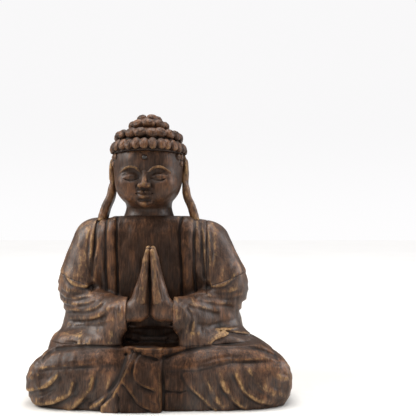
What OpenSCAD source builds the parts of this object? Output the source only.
// Seated praying figure in carved wood, built up from glued and dowelled blocks.
// +Z is up, the figure faces -Y, and its right side is on -X.
// The origin is the middle of the box on the underside.

/* [Overall] */
// Height from the underside to the top of the topknot
height = 250; // [225:1:300]
// Width across the knees
knee_span = 223; // [200:1:270]
// Depth from the front drape to the back of the seat
depth = 115; // [100:1:135]
// How far the head sits to the figure's right of the middle of the base
lean = 14; // [0:1:18]

/* [Legs and seat] */
// Height of the leg blocks, up to the lap
lap_h = 50; // [42:1:60]
// Place of the upright joint between the two leg blocks
leg_seam_x = 4.5; // [-5:0.5:12]
// Place of the upright joint between the leg blocks and the seat block
seat_joint_y = 0; // [-6:1:6]
// How far the front drape stands out of the leg blocks
drape_proud = 4.5; // [3:0.5:7]
// Depth of the seat for the drape in the leg block
drape_seat = 7; // [5:0.5:9]
// Width of the front drape at the bottom
drape_w = 50; // [38:1:60]

/* [Torso and arms] */
// Width of the chest between the two arm joints
chest_w = 100; // [84:1:120]
// Thickness of the chest from front to back
chest_t = 74; // [62:1:84]
// Radius of the sleeve over the shoulder
shoulder_r = 24.5; // [20:0.5:28]
// Radius of the sleeve at the elbow
elbow_r = 23; // [19:0.5:27]
// How far each elbow stands out of the arm joint
elbow_out = 35.5; // [30:0.5:44]
// Radius of the sleeve at the wrist
wrist_r = 13; // [11:0.5:15]
// Slope of the joint between upper arm and forearm
hem_tilt = 20; // [0:1:28]

/* [Hands] */
// Width of the two hands together at the wrists
hands_w = 38; // [32:1:44]
// Length of the hands from heel to fingertips
hand_l = 62; // [52:1:72]
// Thickness of one hand from front to back at the heel
hand_t = 21; // [17:0.5:24]

/* [Head] */
// Width of the head without the ears
head_w = 67.6; // [58:0.2:76]
// Depth of the head from brow to nape
head_d = 73; // [64:1:82]
// Diameter of the neck
neck_d = 41; // [34:1:46]
// Height of the crown of curls above the head joint
crown_h = 24; // [20:1:30]
// Height of the topknot above the crown
topknot_h = 13; // [10:0.5:18]
// Diameter of the topknot
topknot_d = 38; // [32:1:44]
// Thickness of an ear
ear_t = 6; // [5:0.5:8]
// Diameter of the bead in the forehead
urna_d = 4.4; // [3:0.2:6]

/* [Dowels] */
// Diameter of the neck dowel
neck_dowel_d = 12; // [8:1:16]
// Diameter of the large dowels, in the lap
large_dowel_d = 10; // [8:1:12]
// Diameter of the middle dowels, in shoulders, legs, seat and crown
middle_dowel_d = 8; // [6:0.5:9]
// Diameter of the small dowels, in elbows, sleeves and topknot
small_dowel_d = 6; // [4:0.5:7]
// Diameter of the fine dowels, in wrists, palms and drape
fine_dowel_d = 4; // [3:0.5:5]
// Diameter of the ear pins
ear_pin_d = 2; // [1.5:0.1:3]
// Slack on the diameter of each dowel hole, filled with glue
glue_gap = 0.1; // [0.05:0.05:0.3]

/* [Hidden] */

$fn = 32;
wood = "saddlebrown";
dark_wood = "sienna";
pale_wood = "burlywood";
far = 2 * (height + knee_span); // larger than the figure, for half-space cuts
lean_h = 0.56 * height;         // the figure leans evenly up to here

// heights
shoulder_h = height - topknot_h - crown_h - 56; // top of the shoulders and foot of the neck
head_joint_z = height - topknot_h - crown_h;    // joint between head and crown, at the hairline
crown_top_z = height - topknot_h;
elbow_z = lap_h + 0.41 * (shoulder_h - lap_h);
wrist_z = lap_h + 0.31 * (shoulder_h - lap_h);
arm_hem_z = lap_h + 0.46 * (shoulder_h - lap_h); // joint of upper arm and forearm, over the elbow

// sideways place of the leaning axis at a height
function axis_x(z) = -lean * min(1, z / lean_h);
head_x = axis_x(head_joint_z);
chest_x = axis_x((lap_h + shoulder_h) / 2);
hands_x = axis_x(wrist_z) + 1.5;

// front to back
back_y = depth / 2;
drape_y = -depth / 2;
leg_front_y = drape_y + drape_proud;
drape_back_y = leg_front_y + drape_seat;
knee_y = leg_front_y + 33;           // where the knees are widest
knee_d = knee_y - leg_front_y;
rump_d = back_y - knee_y;
chest_y = 13;                        // middle of the chest
chest_front_y = chest_y - chest_t / 2;
arm_y = 8;                           // middle of the upper arm
hand_y = chest_front_y - hand_t + 4; // middle of the hands
head_y = 3;
joint_x = [chest_x - chest_w / 2, chest_x + chest_w / 2]; // arm joints, right and left
cuff_x = [hands_x - hands_w / 2, hands_x + hands_w / 2];  // wrist joints, right and left
ear_seat = head_w / 2 - 3;           // half-width over the flats that carry the ears

// ---------------------------------------------------------------- shapes

function signed_pow(v, e) = sign(v) * pow(abs(v), e);

// a level ring: z, middle x and y, half-width, depth in front of the middle and behind it;
// behind the middle it narrows by the share taper
function ring(r, square, taper, n) = [
    for (i = [0 : n - 1])
        let (t = 360 * (i + 0.5) / n, s = signed_pow(sin(t), square))
        [
            r[1] + r[3] * signed_pow(cos(t), square) * (1 - taper * max(0, s)),
            r[2] + (s < 0 ? r[4] : r[5]) * s,
            r[0]
        ]
];

// a closed skin over a stack of rings, listed from the bottom up
module stack(rings, square = 1, taper = 0, n = 32) {
    layers = [for (r = rings) ring(r, square, taper, n)];
    last = len(rings) - 1;
    points = [for (layer = layers) each layer];
    sides = [
        for (k = [0 : last - 1], i = [0 : n - 1])
            let (j = (i + 1) % n, a = k * n, b = (k + 1) * n)
            each [[a + j, a + i, b + i], [a + j, b + i, b + j]]
    ];
    foot = [for (i = [1 : n - 2]) [0, i, i + 1]];
    lid = [for (i = [1 : n - 2]) [last * n, last * n + i + 1, last * n + i]];
    polyhedron(points = points, faces = concat(foot, lid, sides), convexity = 6);
}

// a box between two corners
module between(low, high) {
    translate(low) cube(high - low);
}

// one hull over balls, each given as [x, y, z, radius]
module lump(balls) {
    hull() for (b = balls) translate([b[0], b[1], b[2]]) sphere(b[3]);
}

module dowel_x(p, d, l) {
    translate(p) rotate([0, 90, 0]) cylinder(d = d, h = l, center = true);
}

module dowel_y(p, d, l) {
    translate(p) rotate([90, 0, 0]) cylinder(d = d, h = l, center = true);
}

module dowel_z(p, d, l) {
    translate(p) cylinder(d = d, h = l, center = true);
}

// ---------------------------------------------------------------- dowel sets
// Each set draws the dowels themselves, or with slack the holes that they sit in.

// a hole is a little wider than its dowel, and a little deeper at each end
function bore(d, slack) = slack ? d + glue_gap : d;
function reach(l, slack) = slack ? l + 1 : l;

neck_dowel_l = 38;
crown_dowel_l = 22;
topknot_dowel_l = 14;
shoulder_dowel_l = 24;
elbow_dowel_l = 20;
wrist_dowel_l = 13;
palm_dowel_l = 10;
lap_dowel_l = 30;
sleeve_dowel_l = 20;
leg_dowel_l = 30;
seat_dowel_l = 30;
drape_dowel_l = 11;
ear_pin_l = 13;

module neck_set(slack = false) {
    dowel_z([head_x, head_y + 6, shoulder_h],
        bore(neck_dowel_d, slack), reach(neck_dowel_l, slack));
}

module crown_set(slack = false) {
    dowel_z([head_x, head_y + 6, head_joint_z],
        bore(middle_dowel_d, slack), reach(crown_dowel_l, slack));
}

module topknot_set(slack = false) {
    dowel_z([head_x, head_y, crown_top_z - 1],
        bore(small_dowel_d, slack), reach(topknot_dowel_l, slack));
}

module shoulder_set(slack = false) {
    for (x = joint_x, z = [shoulder_h - 18, arm_hem_z + 14])
        dowel_x([x, arm_y + 2, z],
            bore(middle_dowel_d, slack), reach(shoulder_dowel_l, slack));
}

module elbow_set(slack = false) {
    for (side = [0, 1])
        at_hem(side)
            dowel_z([0, 0, 0], bore(small_dowel_d, slack), reach(elbow_dowel_l, slack));
}

module wrist_set(slack = false) {
    for (x = cuff_x)
        dowel_x([x, hand_y, wrist_z], bore(fine_dowel_d, slack), reach(wrist_dowel_l, slack));
}

module palm_set(slack = false) {
    for (z = [wrist_z - 6, wrist_z + 10])
        dowel_x([hands_x, hand_y + 1, z], bore(fine_dowel_d, slack), reach(palm_dowel_l, slack));
}

module lap_set(slack = false) {
    for (side = [-1, 1])
        dowel_z([axis_x(lap_h) + side * chest_w / 4, back_y / 2, lap_h],
            bore(large_dowel_d, slack), reach(lap_dowel_l, slack));
}

module sleeve_set(slack = false) {
    for (side = [0, 1])
        dowel_z([cuff_low(side)[0], cuff_low(side)[1], lap_h],
            bore(small_dowel_d, slack), reach(sleeve_dowel_l, slack));
}

module leg_set(slack = false) {
    for (p = [[-34, 0.3], [-14, 0.7]])
        dowel_x([leg_seam_x, seat_joint_y + p[0], lap_h * p[1]],
            bore(middle_dowel_d, slack), reach(leg_dowel_l, slack));
}

module seat_set(slack = false) {
    for (x = [-0.33, -0.16, 0.16, 0.33])
        dowel_y([knee_span * x, seat_joint_y, lap_h * 0.4],
            bore(middle_dowel_d, slack), reach(seat_dowel_l, slack));
}

module drape_set(slack = false) {
    for (p = [[0.22, 0.62], [0.45, 0.25]])
        dowel_y([leg_seam_x - drape_w * p[0], drape_back_y, lap_h * p[1]],
            bore(fine_dowel_d, slack), reach(drape_dowel_l, slack));
}

module ear_pin_set(slack = false) {
    for (side = [-1, 1], p = [[5, 7], [1, -6]])
        dowel_x([head_x + side * (ear_seat + ear_t / 2 - ear_pin_l / 2), head_y + p[0], ear_z + p[1]],
            bore(ear_pin_d, slack), ear_pin_l);
}

// ---------------------------------------------------------------- base

// the crossed legs and the seat in one rounded form, before it is cut into blocks
module base_form() {
    half = knee_span / 2;
    stack([
        [-6, 0, knee_y, half - 13, knee_d - 5, rump_d - 6],
        [0.12 * lap_h, 0, knee_y, half - 4, knee_d - 1, rump_d - 1],
        [0.3 * lap_h, 0, knee_y, half, knee_d, rump_d],
        [0.5 * lap_h, 0, knee_y, half, knee_d, rump_d],
        [0.7 * lap_h, 0, knee_y, half - 5, knee_d - 1, rump_d - 1],
        [0.88 * lap_h, 0, knee_y, half - 15, knee_d - 5, rump_d - 4],
        [lap_h + 4, 0, knee_y, half - 30, knee_d - 12, rump_d - 8]
    ], square = 0.55, taper = 0.22, n = 48);
}

// the drape's outline: it hangs straight at the leg joint and spreads to its lower corner
module drape_outline() {
    shares = [
        [0, 0], [1, 0], [0.98, 0.1], [0.82, 0.24],
        [0.69, 0.45], [0.58, 0.7], [0.48, 0.92], [0, 0.92]
    ];
    polygon([for (s = shares) [leg_seam_x - drape_w * s[0], lap_h * s[1]]]);
}

module drape_solid(front_y, rear_y) {
    translate([0, rear_y, 0]) rotate([90, 0, 0]) linear_extrude(rear_y - front_y) drape_outline();
}

module seat_block() {
    color(wood) difference() {
        intersection() {
            base_form();
            between([-far, seat_joint_y, 0], [far, far, lap_h]);
        }
        seat_set(true);
        lap_set(true);
    }
}

module leg_block(low_x, high_x) {
    color(wood) difference() {
        intersection() {
            base_form();
            between([low_x, -far, 0], [high_x, seat_joint_y, lap_h]);
        }
        drape_solid(-far, drape_back_y);
        leg_set(true);
        seat_set(true);
        sleeve_set(true);
        drape_set(true);
    }
}

module right_leg() {
    leg_block(-far, leg_seam_x);
}

module left_leg() {
    leg_block(leg_seam_x, far);
}

module front_drape() {
    color(wood) difference() {
        drape_solid(drape_y, drape_back_y);
        drape_set(true);
    }
}

// ---------------------------------------------------------------- torso and arms

// chest, belly and back, wider than the torso block so that the arm joints cut it flat
module trunk_form() {
    h = shoulder_h - lap_h;
    t = chest_t / 2;
    wide = chest_w * 0.6;
    stack([
        [lap_h - 6, chest_x, chest_y, wide + 8, t - 1, t],
        [lap_h + 0.2 * h, chest_x, chest_y, wide, t - 3, t - 1],
        [lap_h + 0.42 * h, chest_x, chest_y, wide, t - 2, t - 1],
        [lap_h + 0.65 * h, chest_x, chest_y, wide, t, t],
        [lap_h + 0.83 * h, chest_x, chest_y, wide, t - 4, t - 2],
        [lap_h + 0.95 * h, chest_x, chest_y, wide - 4, t - 10, t - 8],
        [shoulder_h, chest_x, chest_y, wide - 12, t - 15, t - 16]
    ], square = 0.62, n = 40);
}

module torso() {
    color(wood) difference() {
        intersection() {
            trunk_form();
            between([joint_x[0], chest_front_y, lap_h], [joint_x[1], far, shoulder_h]);
        }
        neck_set(true);
        shoulder_set(true);
        lap_set(true);
    }
}

// side 0 is the figure's right and side 1 its left; out is the way from the middle to that side
function out(side) = side == 0 ? -1 : 1;

// middles of the sleeve at the shoulder, the elbow and the wrist
function shoulder(side) = [chest_x + out(side) * (chest_w / 2 - 1), arm_y + 2, shoulder_h - shoulder_r];
function elbow(side) = [axis_x(elbow_z) + out(side) * (chest_w / 2 + elbow_out - elbow_r), arm_y - 6, elbow_z];
function wrist(side) = [cuff_x[side] + out(side) * 5, hand_y + 2, wrist_z];

// the sleeve hangs to the lap over these two places, below the wrist and below the elbow
function cuff_low(side) = wrist(side) + [out(side) * 11, 4, lap_h + 4 - wrist_z];
function sleeve_low(side) = [elbow(side)[0] + out(side) * 3, arm_y, lap_h + 2];

// the frame of the sloping joint over the elbow, with +Z square to it
module at_hem(side) {
    e = elbow(side);
    translate([e[0], e[1] + 2, arm_hem_z]) rotate([0, -out(side) * hem_tilt, 0]) children();
}

module above_hem(side) {
    at_hem(side) translate([-far, -far, 0]) cube(2 * far);
}

// all that lies outside the torso on one side
module beside_torso(side) {
    if (side == 0) between([-far, -far, lap_h], [joint_x[0], far, far]);
    else between([joint_x[1], -far, lap_h], [far, far, far]);
}

// all that lies in front of the torso on one side, from the arm joint to the wrist joint
module before_torso(side) {
    if (side == 0) between([joint_x[0], -far, lap_h], [cuff_x[0], chest_front_y, far]);
    else between([cuff_x[1], -far, lap_h], [joint_x[1], chest_front_y, far]);
}

module upper_arm(side) {
    color(wood) difference() {
        intersection() {
            lump([[each shoulder(side), shoulder_r], [each elbow(side), elbow_r]]);
            beside_torso(side);
            above_hem(side);
        }
        shoulder_set(true);
        elbow_set(true);
    }
}

// forearm with the sleeve that hangs from it on to the lap
module forearm(side) {
    color(wood) difference() {
        intersection() {
            lump([
                [each elbow(side), elbow_r],
                [each wrist(side), wrist_r],
                [each sleeve_low(side), elbow_r - 8],
                [each cuff_low(side), wrist_r - 1]
            ]);
            union() {
                difference() {
                    beside_torso(side);
                    above_hem(side);
                }
                before_torso(side);
            }
        }
        elbow_set(true);
        wrist_set(true);
        sleeve_set(true);
    }
}

module right_upper_arm() {
    upper_arm(0);
}

module left_upper_arm() {
    upper_arm(1);
}

module right_forearm() {
    forearm(0);
}

module left_forearm() {
    forearm(1);
}

// ---------------------------------------------------------------- hands

module hand(side) {
    heel_r = hand_t / 2;
    tip_r = 4.5;
    heel_z = wrist_z - 3;
    tip_z = heel_z - heel_r + hand_l - tip_r;
    color(dark_wood) difference() {
        intersection() {
            lump([
                [hands_x + out(side) * (hands_w / 2 - heel_r), hand_y, heel_z, heel_r],
                [hands_x + out(side) * (hands_w / 2 - heel_r - 0.5), hand_y, heel_z + 13, heel_r - 1.5],
                [hands_x, hand_y + 3, tip_z, tip_r]
            ]);
            if (side == 0) between([cuff_x[0], -far, 0], [hands_x, far, far]);
            else between([hands_x, -far, 0], [cuff_x[1], far, far]);
        }
        wrist_set(true);
        palm_set(true);
    }
}

module right_hand() {
    hand(0);
}

module left_hand() {
    hand(1);
}

// ---------------------------------------------------------------- head

skull_r = head_w / 2;
ear_z = head_joint_z - 14;
urna_seat_y = head_y - head_d / 2 + 7;
urna_z = head_joint_z - 6;

module head() {
    jaw_r = skull_r * 0.72;
    jaw_z = shoulder_h + jaw_r + 3;
    color(wood) difference() {
        union() {
            intersection() {
                lump([
                    [head_x, head_y + head_d / 2 - skull_r, head_joint_z - 8, skull_r],
                    [head_x, head_y - head_d / 2 + skull_r, head_joint_z - 8, skull_r],
                    [head_x, head_y - head_d / 2 + jaw_r + 5, jaw_z, jaw_r]
                ]);
                between([head_x - ear_seat, -far, shoulder_h], [head_x + ear_seat, far, head_joint_z]);
            }
            translate([head_x, head_y + 5, shoulder_h])
                cylinder(d = neck_d, h = head_joint_z - 20 - shoulder_h);
        }
        neck_set(true);
        crown_set(true);
        ear_pin_set(true);
        urna_bore();
    }
}

module crown() {
    a = skull_r + 1;
    b = head_d / 2;
    color(wood) difference() {
        intersection() {
            stack([
                [head_joint_z - 3, head_x, head_y, a, b, b],
                [head_joint_z + 0.35 * crown_h, head_x, head_y, a - 0.5, b - 0.5, b - 0.5],
                [head_joint_z + 0.6 * crown_h, head_x, head_y, a * 0.94, b * 0.94, b * 0.94],
                [head_joint_z + 0.82 * crown_h, head_x, head_y, a * 0.82, b * 0.82, b * 0.82],
                [crown_top_z + 0.5, head_x, head_y, a * 0.6, b * 0.6, b * 0.6]
            ], square = 0.9);
            between([-far, -far, head_joint_z], [far, far, crown_top_z - 1]);
        }
        crown_set(true);
        topknot_set(true);
    }
}

module topknot() {
    a = topknot_d / 2;
    color(wood) difference() {
        intersection() {
            stack([
                for (s = [[-0.25, 0.94], [0.25, 1], [0.6, 0.85], [0.85, 0.6], [1.04, 0.3]])
                    [crown_top_z + s[0] * topknot_h, head_x, head_y, a * s[1], a * s[1], a * s[1]]
            ]);
            between([-far, -far, crown_top_z - 1], [far, far, height]);
        }
        topknot_set(true);
    }
}

// the ear leaf lies on its flat on the head, and the lobe swings out on to the shoulder
module ear(side) {
    $fn = 20;
    x = head_x + out(side) * (ear_seat + ear_t / 2);
    y = head_y + 3;
    r = ear_t / 2;
    lobe = [x + out(side) * 3, y, (shoulder_h + ear_z) / 2, r];
    color(wood) difference() {
        intersection() {
            union() {
                lump([[x, y - 5, ear_z + 9, r], [x, y + 6, ear_z + 10, r], [x, y - 2, ear_z - 14, r]]);
                lump([[x, y + 2, ear_z - 4, r], [x, y - 3, ear_z - 10, r], lobe]);
                lump([lobe, [x + out(side) * 9, y, shoulder_h, r + 1.5]]);
            }
            between([-far, -far, shoulder_h], [far, far, head_joint_z]);
            if (side == 0) between([-far, -far, 0], [head_x - ear_seat, far, far]);
            else between([head_x + ear_seat, -far, 0], [far, far, far]);
        }
        ear_pin_set(true);
    }
}

module right_ear() {
    ear(0);
}

module left_ear() {
    ear(1);
}

urna_depth = 4;

module urna_bore() {
    translate([head_x, urna_seat_y, urna_z]) rotate([90, 0, 0]) cylinder(d = urna_d + glue_gap, h = far);
}

module urna() {
    color(dark_wood) translate([head_x, urna_seat_y, urna_z]) rotate([90, 0, 0]) intersection() {
        cylinder(d = urna_d, h = urna_depth);
        translate([0, 0, urna_depth - urna_d]) sphere(urna_d);
    }
}

// ---------------------------------------------------------------- dowels

module neck_dowel() {
    color(pale_wood) neck_set();
}

module crown_dowel() {
    color(pale_wood) crown_set();
}

module topknot_dowel() {
    color(pale_wood) topknot_set();
}

module shoulder_dowels() {
    color(pale_wood) shoulder_set();
}

module elbow_dowels() {
    color(pale_wood) elbow_set();
}

module wrist_dowels() {
    color(pale_wood) wrist_set();
}

module palm_dowels() {
    color(pale_wood) palm_set();
}

module lap_dowels() {
    color(pale_wood) lap_set();
}

module sleeve_dowels() {
    color(pale_wood) sleeve_set();
}

module leg_dowels() {
    color(pale_wood) leg_set();
}

module seat_dowels() {
    color(pale_wood) seat_set();
}

module drape_dowels() {
    color(pale_wood) drape_set();
}

module ear_pins() {
    color(pale_wood) ear_pin_set();
}

seat_block();
right_leg();
left_leg();
front_drape();
torso();
right_upper_arm();
left_upper_arm();
right_forearm();
left_forearm();
right_hand();
left_hand();
head();
crown();
topknot();
right_ear();
left_ear();
urna();
neck_dowel();
crown_dowel();
topknot_dowel();
shoulder_dowels();
elbow_dowels();
wrist_dowels();
palm_dowels();
lap_dowels();
sleeve_dowels();
leg_dowels();
seat_dowels();
drape_dowels();
ear_pins();
